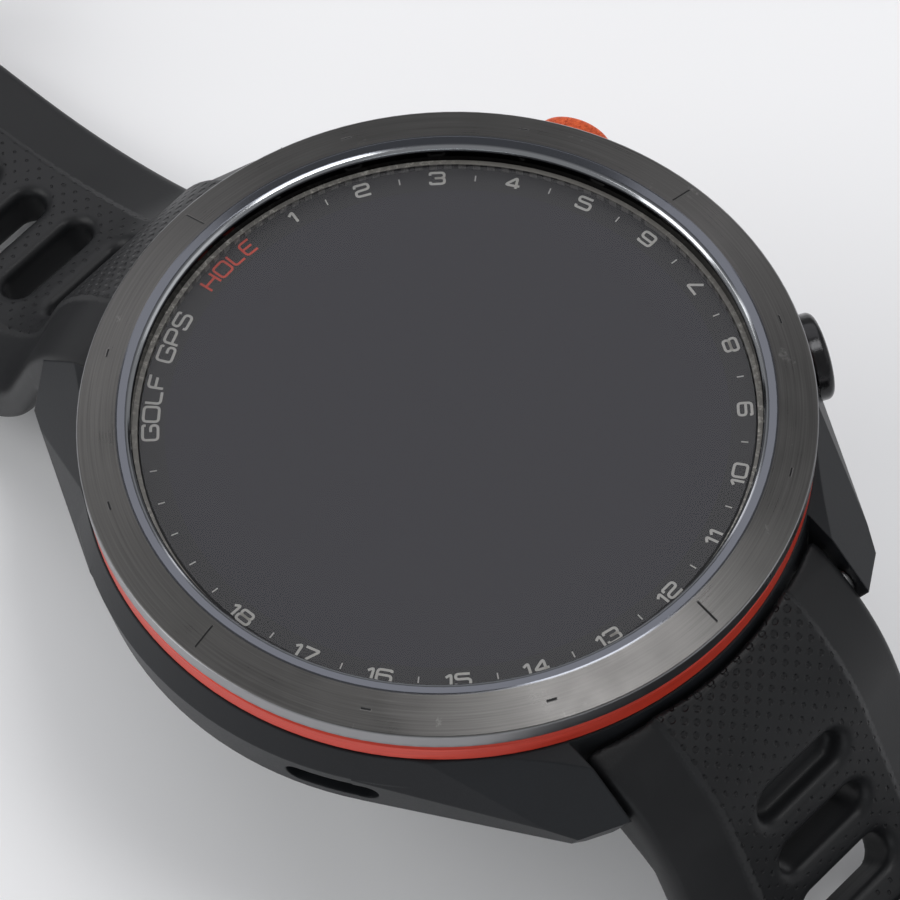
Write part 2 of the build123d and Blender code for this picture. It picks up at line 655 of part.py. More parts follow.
def bevel_cutters(path):
    """Material taken off both edges, so the middle of the strap stands proud."""
    back = math.radians(STRAP_BACK_SLOPE)
    y0, z0 = STRAP_TOP_START
    start = (y0 - 5 * math.cos(back), z0 + 5 * math.sin(back))
    spine = Plane.YZ * Wire([Line(start, (y0, z0)).edge()] + [e.edge() for e in path.edges(0.0, 0)])
    tangent = Vector(0, math.cos(back), -math.sin(back))
    profile_plane = Plane(origin=(0, start[0], start[1]), x_dir=(1, 0, 0), z_dir=tangent)
    wide = BAND_WIDTH / 2 + 0.5
    drop = EDGE_DROP + (EDGE_DROP - PLATEAU_STEP) * 0.5 / (BAND_WIDTH / 2 - PLATEAU_HALF)
    profile = make_face(Polyline((PLATEAU_HALF, PLATEAU_STEP), (wide, drop), (wide, -2.0),
                                 (PLATEAU_HALF, -2.0), close=True))
    cutter = sweep(profile_plane * profile, path=spine, transition=Transition.RIGHT)
    return both_sides(cutter)


def strap_slots(path, first, count):
    cutters = []
    for i in range(count):
        y, z, slope = path.locate(first + i * SLOT_PITCH)
        normal = Vector(0, math.sin(slope), math.cos(slope))
        plane = Plane(origin=(0, y, z), x_dir=(1, 0, 0), z_dir=normal)
        cutters.append(plane * Pos(0, 0, -7) * extrude(SlotOverall(SLOT_LEN, SLOT_W), 9))
    return cutters


def latch_frame():
    """Plane on the strap's underside by the pin: Z outwards, Y along the strap."""
    slope = math.radians(LATCH_SLOPE)
    along = Vector(0, math.cos(slope), -math.sin(slope))
    inward = Vector(0, -math.sin(slope), -math.cos(slope))
    centre = Vector(0, PIN_Y, PIN_Z) + inward * HUB_R + along * (LATCH_SETBACK + LATCH_LEN / 2)
    return Plane(origin=centre, x_dir=(1, 0, 0), z_dir=inward)


def latch_pocket():
    frame = latch_frame()
    length = LATCH_LEN + LATCH_TRAVEL + 2 * LATCH_CLEAR
    sign = 1 if frame.y_dir.Y > 0 else -1
    shift = sign * LATCH_TRAVEL / 2
    box = Box(LATCH_W + 2 * LATCH_CLEAR, length, LATCH_T + LATCH_CLEAR + 3,
              align=(Align.CENTER, Align.CENTER, Align.MIN))
    return frame * Pos(0, shift, -LATCH_T - LATCH_CLEAR) * box


def latch():
    frame = latch_frame()
    sign = 1 if frame.y_dir.Y > 0 else -1
    plate = Pos(0, 0, -LATCH_T) * Box(LATCH_W, LATCH_LEN, LATCH_T, align=(Align.CENTER, Align.CENTER, Align.MIN))
    lip = Pos(0, sign * (LATCH_LEN / 2 - 0.6), 0) * Box(
        LATCH_W * 0.7, 1.2, 2 * THUMB_LIP)
    return frame * (plate + lip)


def finish_strap(path, tip_r, slots):
    strap = strap_root(path) + strap_band(path, tip_r)
    strap = strap - bevel_cutters(path)
    strap = strap - Pos(0, PIN_Y, PIN_Z) * Rot(0, 90, 0) * Cylinder(PIN_R + BORE_CLEAR, 60)
    strap = strap - latch_pocket()
    for cutter in slots:
        strap = strap - cutter
    return strap


def buckle_path():
    flat = TABLE_Z + KEEPER_WALL + STRAP_T
    return StrapPath(flat, BUCKLE_FOOT_R, BUCKLE_FOOT_SLOPE, BUCKLE_SETTLE_R, BUCKLE_STRAP_END)


def tail_path():
    return StrapPath(TABLE_Z + STRAP_T, TAIL_FOOT_R, 0.0, 1.0, TAIL_END)


def buckle_pin_z():
    return TABLE_Z + KEEPER_WALL + BUCKLE_HUB_R


def strap_12():
    path = buckle_path()
    strap = finish_strap(path, 0, strap_slots(path, BUCKLE_SLOT_START, BUCKLE_SLOTS))
    # barrel on the buckle pin, and the notch for the tongue
    pin = Pos(0, BUCKLE_STRAP_END, buckle_pin_z()) * Rot(0, 90, 0)
    hub = pin * Cylinder(BUCKLE_HUB_R, BAND_WIDTH)
    beyond = Pos(0, BUCKLE_STRAP_END + 10, buckle_pin_z()) * Box(60, 20, 20)
    strap = strap - beyond + hub
    notch_w = TONGUE_W + 2 * TONGUE_NOTCH_GAP
    notch_len = TONGUE_HUB_R + TONGUE_NOTCH_GAP
    notch = Pos(0, BUCKLE_STRAP_END - notch_len, buckle_pin_z()) * Box(
        notch_w, 20, 20, align=(Align.CENTER, Align.MIN, Align.CENTER))
    return strap - notch - pin * Cylinder(BUCKLE_PIN_R + BORE_CLEAR, 60)


def strap_6():
    path = tail_path()
    strap = finish_strap(path, TAIL_TIP_R, strap_slots(path, TAIL_SLOT_START, TAIL_SLOTS))
    return mirror(strap, about=Plane.XZ)


def lug_pin(sign):
    body = Cylinder(PIN_R, 2 * LUG_INNER_X - 0.1) + Cylinder(
        PIN_TIP_R, 2 * (LUG_INNER_X + PIN_TIP_LEN) - 0.1)
    return Pos(0, sign * PIN_Y, PIN_Z) * Rot(0, 90, 0) * body


# ---------------------------------------------------------------- buckle and keepers
def buckle_arm_x():
    return BAND_WIDTH / 2 + BUCKLE_GAP


def buckle_frame():
    y0 = BUCKLE_STRAP_END
    bar_z = TABLE_Z + BUCKLE_BAR_R
    ends = [CenterArc((y0, buckle_pin_z()), BUCKLE_HUB_R, 0, 360),
            CenterArc((y0 + BUCKLE_REACH, bar_z), BUCKLE_BAR_R, 0, 360)]
    arm = extrude(Plane.YZ * make_hull(ends), BUCKLE_ARM_T)
    arm = Pos(buckle_arm_x(), 0, 0) * arm
    arms = both_sides(arm)
    bar = Pos(0, y0 + BUCKLE_REACH, bar_z) * Rot(0, 90, 0) * Cylinder(
        BUCKLE_BAR_R, 2 * buckle_arm_x() + 1)
    hole = Pos(0, y0, buckle_pin_z()) * Rot(0, 90, 0) * Cylinder(BUCKLE_PIN_R, 60)
    return arms + bar - hole


def buckle_pin():
    length = 2 * (buckle_arm_x() + BUCKLE_ARM_T) - 0.4
    return Pos(0, BUCKLE_STRAP_END, buckle_pin_z()) * Rot(0, 90, 0) * Cylinder(BUCKLE_PIN_R, length)


def buckle_tongue():
    y0 = BUCKLE_STRAP_END
    bar_top = TABLE_Z + 2 * BUCKLE_BAR_R
    low = bar_top + TONGUE_REST_GAP
    length = BUCKLE_REACH + BUCKLE_BAR_R + TONGUE_OVERHANG
    plate = Pos(0, y0, low) * Box(TONGUE_W, length, TONGUE_T, align=(Align.CENTER, Align.MIN, Align.MIN))
    hub = Pos(0, y0, buckle_pin_z()) * Rot(0, 90, 0) * Cylinder(TONGUE_HUB_R, TONGUE_W)
    plate = fillet(plate.edges().filter_by(Axis.Z).group_by(Axis.Y)[-1], 2.2)
    body = plate + hub
    return body - Pos(0, y0, buckle_pin_z()) * Rot(0, 90, 0) * Cylinder(BUCKLE_PIN_R + BORE_CLEAR, 60)


def keeper(y, below, side):
    """Loop round the strap, standing on the table; below and side are its clearances."""
    inner_x = BAND_WIDTH + 2 * side
    strap_low = TABLE_Z + KEEPER_WALL
    inner_z = STRAP_T + below + KEEPER_TAIL_SPACE
    inner_low = strap_low - below
    outer_z = inner_z + (inner_low - TABLE_Z) + KEEPER_WALL
    outer = Box(inner_x + 2 * KEEPER_WALL, KEEPER_WIDTH, outer_z, align=(Align.CENTER, Align.CENTER, Align.MIN))
    outer = fillet(outer.edges().filter_by(Axis.Y), 1.6)
    hole = Box(inner_x, KEEPER_WIDTH + 2, inner_z, align=(Align.CENTER, Align.CENTER, Align.MIN))
    return Pos(0, y, TABLE_Z) * outer - Pos(0, y, inner_low) * hole


# ---------------------------------------------------------------- assembly
def make_parts():
    parts = {
        "case_body": case_body(),
        "bezel_ring": bezel_ring(),
        "accent_ring": accent_ring(),
        "bezel_gasket": bezel_gasket(),
        "lens": lens(),
        "lens_adhesive": lens_adhesive(),
        "display_panel": display_panel(),
        "display_frame": display_frame(),
        "antenna_ring": antenna_ring(),
        "main_board": main_board(),
        "battery": battery(),
        "vibration_motor": vibration_motor(),
        "vent_membrane": vent_membrane(),
        "back_cover": back_cover(),
        "back_gasket": gasket_ring(0.0),
        "back_screws": back_screws(),
        "sensor_window": sensor_window(),
        "sensor_board": sensor_board(),
        "charge_port": charge_port(),
        "charge_contacts": charge_contacts(),
        "lug_pin_12": lug_pin(1),
        "lug_pin_6": lug_pin(-1),
        "strap_12": strap_12(),
        "strap_6": strap_6(),
        "latch_12": latch(),
        "latch_6": mirror(latch(), about=Plane.XZ),
        "buckle_frame": buckle_frame(),
        "buckle_pin": buckle_pin(),
        "buckle_tongue": buckle_tongue(),
        "keeper_fixed": keeper(FIXED_KEEPER_Y, 0.0, 0.0),
        "keeper_sliding": keeper(SLIDING_KEEPER_Y, SLIDING_CLEAR, KEEPER_SIDE),
    }
    buttons = (("action", ACTION_ANGLE, ACTION_CAP_R, ACTION_FACE_R),
               ("menu", MENU_ANGLE, MENU_CAP_R, MENU_FACE_R))
    for name, angle, cap_r, face_r in buttons:
        parts[name + "_button_cap"] = button_cap(angle, cap_r, face_r)
        parts[name + "_button_seal"] = button_seal(angle)
        parts[name + "_button_clip"] = button_clip(angle)
        parts[name + "_tact_switch"] = tact_switch(angle)
    return parts


os.makedirs("parts", exist_ok=True)
for node, shape in make_parts().items():
    export_step(shape, "parts/" + node + ".step")
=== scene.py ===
import bpy
import json
import math
import numpy as np
from mathutils import Matrix, Vector


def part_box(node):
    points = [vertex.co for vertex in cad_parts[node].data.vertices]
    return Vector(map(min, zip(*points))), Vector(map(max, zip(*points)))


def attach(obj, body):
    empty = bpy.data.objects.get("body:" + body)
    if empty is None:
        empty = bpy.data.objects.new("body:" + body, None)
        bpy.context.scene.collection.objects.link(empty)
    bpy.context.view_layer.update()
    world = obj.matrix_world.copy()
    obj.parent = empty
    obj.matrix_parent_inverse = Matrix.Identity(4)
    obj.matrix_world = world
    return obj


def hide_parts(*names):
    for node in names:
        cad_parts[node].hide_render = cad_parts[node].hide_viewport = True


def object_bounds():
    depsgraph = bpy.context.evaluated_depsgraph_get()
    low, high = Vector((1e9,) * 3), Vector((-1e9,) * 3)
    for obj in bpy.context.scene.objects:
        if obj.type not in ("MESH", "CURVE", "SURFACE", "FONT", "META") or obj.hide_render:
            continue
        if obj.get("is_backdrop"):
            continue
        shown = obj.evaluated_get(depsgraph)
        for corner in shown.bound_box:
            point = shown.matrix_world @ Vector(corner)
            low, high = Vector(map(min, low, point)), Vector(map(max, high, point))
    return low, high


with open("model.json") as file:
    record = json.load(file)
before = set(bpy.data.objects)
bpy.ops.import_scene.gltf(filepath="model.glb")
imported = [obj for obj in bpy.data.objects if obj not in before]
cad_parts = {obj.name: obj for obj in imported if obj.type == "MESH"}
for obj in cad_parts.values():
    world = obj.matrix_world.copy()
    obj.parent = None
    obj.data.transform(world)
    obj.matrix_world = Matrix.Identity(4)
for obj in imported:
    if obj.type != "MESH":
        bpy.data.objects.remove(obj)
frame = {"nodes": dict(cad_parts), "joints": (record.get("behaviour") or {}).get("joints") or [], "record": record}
cad_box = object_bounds()
NODES = frame["nodes"]
MM = 0.001
SLOT_GAP = 4.7             # mm between the strap's slots


def plain(value):
    return [plain(v) for v in value] if hasattr(value, "__len__") else float(value)


# ------------------------------------------------------------ sizes taken from the frame, in mm
def node_box(name):
    low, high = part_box(name)
    return np.array(low) / MM, np.array(high) / MM


JOINTS = {j["name"]: j for j in frame["joints"]}
FLOOR_Z = cad_box[0][2] / MM
LENS_TOP = node_box("lens")[1][2]
LENS_R = node_box("lens")[1][0]
PIN_Y, PIN_Z = JOINTS["strap_12_swing"]["pos_m"][1] / MM, JOINTS["strap_12_swing"]["pos_m"][2] / MM
BUCKLE_Y, BUCKLE_Z = JOINTS["buckle_swing"]["pos_m"][1] / MM, JOINTS["buckle_swing"]["pos_m"][2] / MM
TAIL_Y = -node_box("strap_6")[0][1]
BAND_HALF = node_box("strap_6")[1][0]


# ------------------------------------------------------------ material helpers
class Nodes:
    """Short way to build a material's node tree."""

    def __init__(self, name):
        self.mat = bpy.data.materials.new(name)
        self.mat.use_nodes = True
        self.tree = self.mat.node_tree
        self.tree.nodes.clear()
        self.out = self.tree.nodes.new("ShaderNodeOutputMaterial")
        self.bsdf = self.tree.nodes.new("ShaderNodeBsdfPrincipled")
        self.link(self.bsdf.outputs[0], self.out.inputs["Surface"])

    def link(self, a, b):
        self.tree.links.new(a, b)

    def put(self, socket, value):
        if hasattr(value, "is_output"):
            self.link(value, socket)
        elif hasattr(value, "__len__") and len(value) == 3 and socket.type == "RGBA":
            socket.default_value = (*value, 1.0)
        else:
            socket.default_value = value

    def set(self, **values):
        for key, value in values.items():
            self.put(self.bsdf.inputs[key.replace("_", " ")], value)

    def coord(self, kind="Object"):
        return self.tree.nodes.new("ShaderNodeTexCoord").outputs[kind]

    def uv(self):
        node = self.tree.nodes.new("ShaderNodeUVMap")
        node.uv_map = "flow"
        return node.outputs[0]

    def math(self, op, a, b=0.0, c=0.0, clamp=False):
        node = self.tree.nodes.new("ShaderNodeMath")
        node.operation = op
        node.use_clamp = clamp
        for socket, value in zip(node.inputs, (a, b, c)):
            self.put(socket, value)
        return node.outputs[0]

    def split(self, vector):
        node = self.tree.nodes.new("ShaderNodeSeparateXYZ")
        self.link(vector, node.inputs[0])
        return node.outputs

    def join(self, x, y, z):
        node = self.tree.nodes.new("ShaderNodeCombineXYZ")
        for socket, value in zip(node.inputs, (x, y, z)):
            self.put(socket, value)
        return node.outputs[0]

    def noise(self, vector, scale, detail=3.0, rough=0.5, stretch=None):
        node = self.tree.nodes.new("ShaderNodeTexNoise")
        node.inputs["Scale"].default_value = scale
        node.inputs["Detail"].default_value = detail
        node.inputs["Roughness"].default_value = rough
        if stretch:
            mapping = self.tree.nodes.new("ShaderNodeMapping")
            mapping.inputs["Scale"].default_value = stretch
            self.link(vector, mapping.inputs["Vector"])
            vector = mapping.outputs[0]
        self.link(vector, node.inputs["Vector"])
        return node.outputs[0]

    def ramp(self, value, low, high, to_low=0.0, to_high=1.0, smooth=False):
        node = self.tree.nodes.new("ShaderNodeMapRange")
        node.interpolation_type = "SMOOTHSTEP" if smooth else "LINEAR"
        for socket, v in zip(node.inputs, (value, low, high, to_low, to_high)):
            self.put(socket, v)
        return node.outputs[0]

    def mix(self, factor, a, b):
        node = self.tree.nodes.new("ShaderNodeMix")
        node.data_type = "RGBA"
        self.put(node.inputs[0], factor)
        self.put(node.inputs[6], a)
        self.put(node.inputs[7], b)
        return node.outputs[2]

    def bump(self, height, distance, strength=1.0, rounded=0.0, normal=None):
        node = self.tree.nodes.new("ShaderNodeBump")
        node.inputs["Strength"].default_value = strength
        node.inputs["Distance"].default_value = distance
        self.put(node.inputs["Height"], height)
        if rounded:
            edge = self.tree.nodes.new("ShaderNodeBevel")
            edge.samples = 4
            edge.inputs["Radius"].default_value = rounded
            self.link(edge.outputs[0], node.inputs["Normal"])
        if normal is not None:
            self.link(normal, node.inputs["Normal"])
        self.link(node.outputs[0], self.bsdf.inputs["Normal"])
        return node.outputs[0]


def grainy(name, dark, light, rough, grain=2600.0, depth=0.00003, metal=0.0, rounded=0.0, spec=0.5, patch=90.0):
    """A surface with fine grain, slow colour variation and roughness that follows both."""
    n = Nodes(name)
    at = n.coord()
    fine = n.noise(at, grain, 4.0, 0.6)
    slow = n.noise(at, patch, 3.0, 0.55)
    tone = n.math("MULTIPLY_ADD", fine, 0.45, n.math("MULTIPLY", slow, 0.55))
    n.set(Base_Color=n.mix(n.ramp(tone, 0.32, 0.68), dark, light),
          Roughness=n.ramp(tone, 0.3, 0.7, rough - 0.05, rough + 0.07), Metallic=metal)
    n.bsdf.inputs["Specular IOR Level"].default_value = spec
    n.bump(fine, depth, 0.5, rounded)
    return n


def polar(n):
    """Radius and clockwise clock angle, in degrees, about the dial axis."""
    x, y, z = n.split(n.coord())
    radius = n.math("SQRT", n.math("ADD", n.math("MULTIPLY", x, x), n.math("MULTIPLY", y, y)))
    angle = n.math("MULTIPLY", n.math("ARCTAN2", x, y), 180 / math.pi)
    return radius, angle, x, y, z


def turned_metal():
    """Dark coated steel, brushed round the ring, with engraved hour marks."""
    n = Nodes("bezel_metal")
    radius, angle, x, y, z = polar(n)
    brush = n.noise(n.join(n.math("MULTIPLY", radius, 9000.0), n.math("MULTIPLY", angle, 0.035), 0.0), 1.0, 6.0, 0.62)
    haze = n.noise(n.join(n.math("MULTIPLY", radius, 300.0), n.math("MULTIPLY", angle, 0.11), 0.0), 1.0, 3.0, 0.5)
    wear = n.noise(n.coord(), 420.0, 5.0, 0.7)
    on_top = n.ramp(radius, 0.02090, 0.02100)
    mm_r = n.math("MULTIPLY", radius, 1000.0)

    def mark(step, offset, r0, r1, half_mm):
        turn = n.math("WRAP", n.math("ADD", angle, offset), step / 2, -step / 2)
        side = n.math("MULTIPLY", n.math("ABSOLUTE", turn), math.pi / 180 * 22.0)
        across = n.ramp(side, half_mm - 0.03, half_mm + 0.03, 1.0, 0.0)
        start = n.ramp(mm_r, r0 - 0.03, r0 + 0.03)
        stop = n.ramp(mm_r, r1 - 0.03, r1 + 0.03, 1.0, 0.0)
        return n.math("MULTIPLY", across, n.math("MULTIPLY", start, stop))

    quarters = mark(90.0, 0.0, 21.3, 22.95, 0.05)
    dashes = mark(30.0, 0.0, 22.12, 22.24, 0.32)
    near_quarter = n.math("ABSOLUTE", n.math("WRAP", angle, 45.0, -45.0))
    dashes = n.math("MULTIPLY", dashes, n.math("GREATER_THAN", near_quarter, 6.0))
    marks = n.math("MAXIMUM", quarters, dashes)
    base = n.mix(n.ramp(brush, 0.3, 0.7), (0.098, 0.095, 0.093), (0.142, 0.138, 0.135))
    base = n.mix(n.ramp(wear, 0.66, 0.78), base, (0.24, 0.235, 0.23))
    base = n.mix(on_top, (0.105, 0.11, 0.125), base)
    # Painted highlight: a lighter metal band is painted along the inner crest, from about 20.06 to 20.3 mm out.
    base = n.mix(n.ramp(mm_r, 20.22, 20.36), (0.42, 0.43, 0.45), base)
    # Painted reflection: the outer side past 23.46 mm is painted lighter grey, standing in for the bright floor it
    # reflects.
    base = n.mix(n.ramp(mm_r, 23.42, 23.46), base, (0.30, 0.30, 0.31))
    # Painted shade: the inner wall inside 20.0 mm is painted near-black, standing in for the shaded gap down to the
    # glass.
    base = n.mix(n.ramp(mm_r, 20.0, 20.06), (0.006, 0.006, 0.007), base)
    base = n.mix(marks, base, (0.03, 0.03, 0.031))
    rough = n.math("ADD", n.ramp(brush, 0.25, 0.75, 0.27, 0.34), n.ramp(haze, 0.3, 0.7, -0.03, 0.05))
    rough = n.mix(on_top, (0.09, 0.09, 0.09), rough)
    n.set(Base_Color=base, Metallic=1.0, Roughness=n.math("MAXIMUM", rough, n.math("MULTIPLY", marks, 0.6)))
    n.bsdf.inputs["Anisotropic"].default_value = 0.75
    tangent = n.tree.nodes.new("ShaderNodeTangent")
    tangent.direction_type = "RADIAL"
    tangent.axis = "Z"
    n.link(tangent.outputs[0], n.bsdf.inputs["Tangent"])
    grooves = n.math("MULTIPLY", brush, n.math("MULTIPLY", on_top, 0.006))
    height = n.math("ADD", grooves, n.math("MULTIPLY", marks, -0.6))
    n.bump(height, 0.00012, 0.7, 0.00005)
    return n.mat


def moulded_case():
    n = grainy("case_polymer", (0.0080, 0.0088, 0.0104), (0.0130, 0.0142, 0.0166), 0.42,
               5200.0, 0.00001, rounded=0.0002, spec=0.2)
    return n.mat


def strap_rubber():
    """Silicone with a staggered grid of small pits on the raised middle, fading away from the case."""
    n = Nodes("strap_silicone")
    u, v, w = n.split(n.uv())
    x = n.math("MULTIPLY", n.math("SUBTRACT", u, 0.5), 100.0)
    s = n.math("MULTIPLY", v, 200.0)
    pitch = 1.2
    row = n.math("DIVIDE", s, pitch * 0.5)
    shift = n.math("MULTIPLY", n.math("MODULO", n.math("FLOOR", n.math("ADD", row, 100.5)), 2.0), 0.5)
    cx = n.math("SUBTRACT", n.math("FRACT", n.math("ADD", n.math("ADD", n.math("DIVIDE", x, pitch), 40.0), shift)), 0.5)
    cy = n.math("MULTIPLY", n.math("SUBTRACT", n.math("FRACT", n.math("ADD", row, 100.5)), 0.5), 0.5)
    away = n.math("MULTIPLY", pitch, n.math("SQRT", n.math("ADD", n.math("MULTIPLY", cx, cx), n.math("MULTIPLY", cy, cy))))
    fade = n.math("ADD", n.ramp(s, -9.0, -2.0, 0.12, 0.0), n.ramp(s, -2.0, 40.0, 0.15, 0.06))
    pit = n.ramp(n.math("DIVIDE", away, fade), 0.55, 1.15, 1.0, 0.0, smooth=True)
    inside = n.ramp(n.math("ABSOLUTE", x), 6.0, 6.1, 1.0, 0.0)
    under = n.tree.nodes.new("ShaderNodeAttribute")
    under.attribute_name = "below_top"
    upside = n.ramp(under.outputs["Fac"], 0.45, 0.6, 1.0, 0.0)
    in_pitch = n.math("WRAP", s, SLOT_GAP / 2, -SLOT_GAP / 2)
    over = n.math("MAXIMUM", n.math("SUBTRACT", n.math("ABSOLUTE", x), 2.6), 0.0)
    hole = n.math("SQRT", n.math("ADD", n.math("MULTIPLY", over, over), n.math("MULTIPLY", in_pitch, in_pitch)))
    clear = n.math("MAXIMUM", n.ramp(hole, 1.75, 1.85), n.math("LESS_THAN", s, -2.3))
    pit = n.math("MULTIPLY", n.math("MULTIPLY", pit, inside), n.math("MULTIPLY", upside, clear))
    at = n.coord()
    fine = n.noise(at, 6000.0, 4.0, 0.6)
    slow = n.noise(at, 120.0, 4.0, 0.6)
    dust = n.ramp(n.noise(at, 900.0, 6.0, 0.75), 0.70, 0.80)
    base = n.mix(n.ramp(slow, 0.3, 0.7), (0.0085, 0.0088, 0.0098), (0.0125, 0.0130, 0.0142))
    # Painted shade: the pits are also painted darker than the rubber around them.
    base = n.mix(n.math("MULTIPLY", pit, 0.75), base, (0.004, 0.004, 0.005))
    base = n.mix(n.math("MULTIPLY", dust, 0.15), base, (0.13, 0.13, 0.13))
    n.set(Base_Color=base, Roughness=n.ramp(slow, 0.3, 0.7, 0.38, 0.48))
    n.bsdf.inputs["Specular IOR Level"].default_value = 0.24
    height = n.math("SUBTRACT", n.math("MULTIPLY", fine, 0.06), pit)
    n.bump(height, 0.00014, 0.8)
    return n.mat


def lens_glass():
    n = Nodes("cover_glass")
    at = n.coord()
    smear = n.noise(at, 60.0, 4.0, 0.6)
    n.set(Base_Color=(0.010, 0.010, 0.014), Roughness=n.ramp(smear, 0.3, 0.7, 0.03, 0.036), Alpha=0.42)
    n.bsdf.inputs["IOR"].default_value = 1.58
    return n.mat


def display_off():
    n = Nodes("display_black")
    cloud = n.noise(n.coord(), 55.0, 2.0, 0.5)
    base = n.mix(n.ramp(cloud, 0.3, 0.7), (0.0045, 0.0035, 0.0130), (0.0060, 0.0050, 0.0160))
    n.set(Base_Color=base, Roughness=n.ramp(cloud, 0.3, 0.7, 0.30, 0.34))
    return n.mat


def print_ink(name, colour):
    n = Nodes(name)
    speck = n.noise(n.coord(), 9000.0, 4.0, 0.7)
    n.set(Base_Color=n.mix(n.ramp(speck, 0.35, 0.65), [c * 0.86 for c in colour], colour), Roughness=0.5)
    # Painted light: the ink is given a faint glow in its own colour, so the print stays lit under the glass.
    n.bsdf.inputs["Emission Color"].default_value = (*colour, 1.0)
    n.bsdf.inputs["Emission Strength"].default_value = 0.15
    return n.mat


def dusty_gasket():
    n = Nodes("dusty_gasket")
    at = n.coord()
    speck = n.noise(at, 2400.0, 6.0, 0.8)
    patchy = n.noise(at, 70.0, 3.0, 0.6)
    dust = n.math("MULTIPLY", n.ramp(speck, 0.5, 0.66), n.ramp(patchy, 0.34, 0.6))
    n.set(Base_Color=n.mix(dust, (0.15, 0.143, 0.132), (0.50, 0.48, 0.44)), Roughness=n.ramp(dust, 0.0, 1.0, 0.5, 0.9))
    n.bump(speck, 0.00006, 0.8)
    return n.mat


def anodised_orange():
    n = Nodes("orange_anodised")
    at = n.coord()
    grit = n.noise(at, 3800.0, 5.0, 0.75)
    pits = n.ramp(n.noise(at, 2300.0, 3.0, 0.7), 0.55, 0.75)
    base = n.mix(n.ramp(grit, 0.32, 0.68), (0.52, 0.045, 0.010), (1.0, 0.19, 0.055))
    base = n.mix(n.math("MULTIPLY", pits, 0.6), base, (0.12, 0.012, 0.004))
    n.set(Base_Color=base, Metallic=0.35, Roughness=n.ramp(grit, 0.3, 0.7, 0.38, 0.58))
    n.bump(grit, 0.0002, 0.9)
    return n.mat


def accent_red():
    n = Nodes("accent_red")
    radius, angle, x, y, z = polar(n)
    lines = n.noise(n.join(n.math("MULTIPLY", z, 16000.0), n.math("MULTIPLY", angle, 0.05), 0.0), 1.0, 4.0, 0.6)
    base = n.mix(n.ramp(lines, 0.3, 0.7), (0.50, 0.030, 0.014), (0.66, 0.055, 0.028))
    n.set(Base_Color=base, Metallic=0.25, Roughness=n.ramp(lines, 0.3, 0.7, 0.28, 0.40))
    n.bump(lines, 0.00002, 0.5)
    return n.mat


GENERIC = {
    "gasket": ((0.012, 0.012, 0.012), (0.03, 0.03, 0.03), 0.6, 0.0),
    "adhesive": ((0.012, 0.012, 0.012), (0.025, 0.025, 0.025), 0.5, 0.0),
    "carrier": ((0.03, 0.03, 0.03), (0.06, 0.06, 0.06), 0.5, 0.0),
    "antenna": ((0.55, 0.38, 0.14), (0.68, 0.5, 0.2), 0.3, 1.0),
    "board": ((0.008, 0.06, 0.025), (0.02, 0.12, 0.05), 0.4, 0.0),
    "cell": ((0.45, 0.45, 0.47), (0.6, 0.6, 0.62), 0.35, 0.9),
    "motor": ((0.5, 0.5, 0.5), (0.7, 0.7, 0.7), 0.25, 1.0),
    "membrane": ((0.02, 0.02, 0.02), (0.06, 0.06, 0.06), 0.8, 0.0),
    "case_back": ((0.022, 0.023, 0.026), (0.036, 0.038, 0.042), 0.45, 0.0),
    "screws": ((0.10, 0.10, 0.105), (0.2, 0.2, 0.21), 0.3, 1.0),
    "port_plate": ((0.012, 0.012, 0.012), (0.025, 0.025, 0.025), 0.4, 0.0),
    "contacts": ((0.75, 0.52, 0.2), (0.9, 0.66, 0.3), 0.22, 1.0),
    "pins": ((0.45, 0.45, 0.46), (0.65, 0.65, 0.66), 0.28, 1.0),
    "latch": ((0.2, 0.2, 0.205), (0.32, 0.32, 0.33), 0.34, 1.0),
    "buckle": ((0.055, 0.055, 0.058), (0.10, 0.10, 0.105), 0.33, 1.0),
    "switch": ((0.02, 0.02, 0.02), (0.05, 0.05, 0.05), 0.4, 0.0),
    "menu_button": ((0.010, 0.010, 0.011), (0.022, 0.022, 0.024), 0.16, 0.6),
    "sensor_glass": ((0.006, 0.006, 0.008), (0.012, 0.012, 0.015), 0.06, 0.0),
}
MADE = {name: grainy(name, a, b, r, metal=m, rounded=0.00015).mat for name, (a, b, r, m) in GENERIC.items()}
MADE.update(case=moulded_case(), bezel=turned_metal(), accent=accent_red(), cover_glass=lens_glass(),
            display=display_off(), action_button=anodised_orange(), strap=strap_rubber())
for entry in frame["record"]["subparts"]:
    node = NODES[entry["node"]]
    node.data.materials.clear()
    node.data.materials.append(MADE[entry["material_slot"]])
NODES["bezel_gasket"].data.materials[0] = dusty_gasket()


# ------------------------------------------------------------ mesh helpers
def new_piece(name, verts, faces, material, body, smooth=True):
    mesh = bpy.data.meshes.new(name)
    mesh.from_pydata([tuple(v) for v in verts], [], [tuple(f) for f in faces])
    mesh.update()
    obj = bpy.data.objects.new(name, mesh)
    bpy.context.scene.collection.objects.link(obj)
    mesh.materials.append(material)
    if smooth:
        mesh.polygons.foreach_set("use_smooth", [True] * len(mesh.polygons))
    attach(obj, body)
    return obj


# ------------------------------------------------------------ printed ring under the glass
def rounded(points, radius, steps=4):
    """The polyline with its inner corners rounded."""
    pts = [Vector(p) for p in points]
    closed = pts[0] == pts[-1]
    out = [] if closed else [pts[0]]
    last = len(pts) - 1
    for i in range(0 if closed else 1, last):
        here = pts[i]
        before = pts[(i - 1) % last] if closed else pts[i - 1]
        after = pts[i + 1]
        a, b = (before - here), (after - here)
        r = min(radius, a.length * 0.49, b.length * 0.49)
        p, q = here + a.normalized() * r, here + b.normalized() * r
        for k in range(steps + 1):
            t = k / steps
            out.append(p * (1 - t) ** 2 + here * 2 * t * (1 - t) + q * t ** 2)
    out.append(out[0] if closed else pts[-1])
    return out


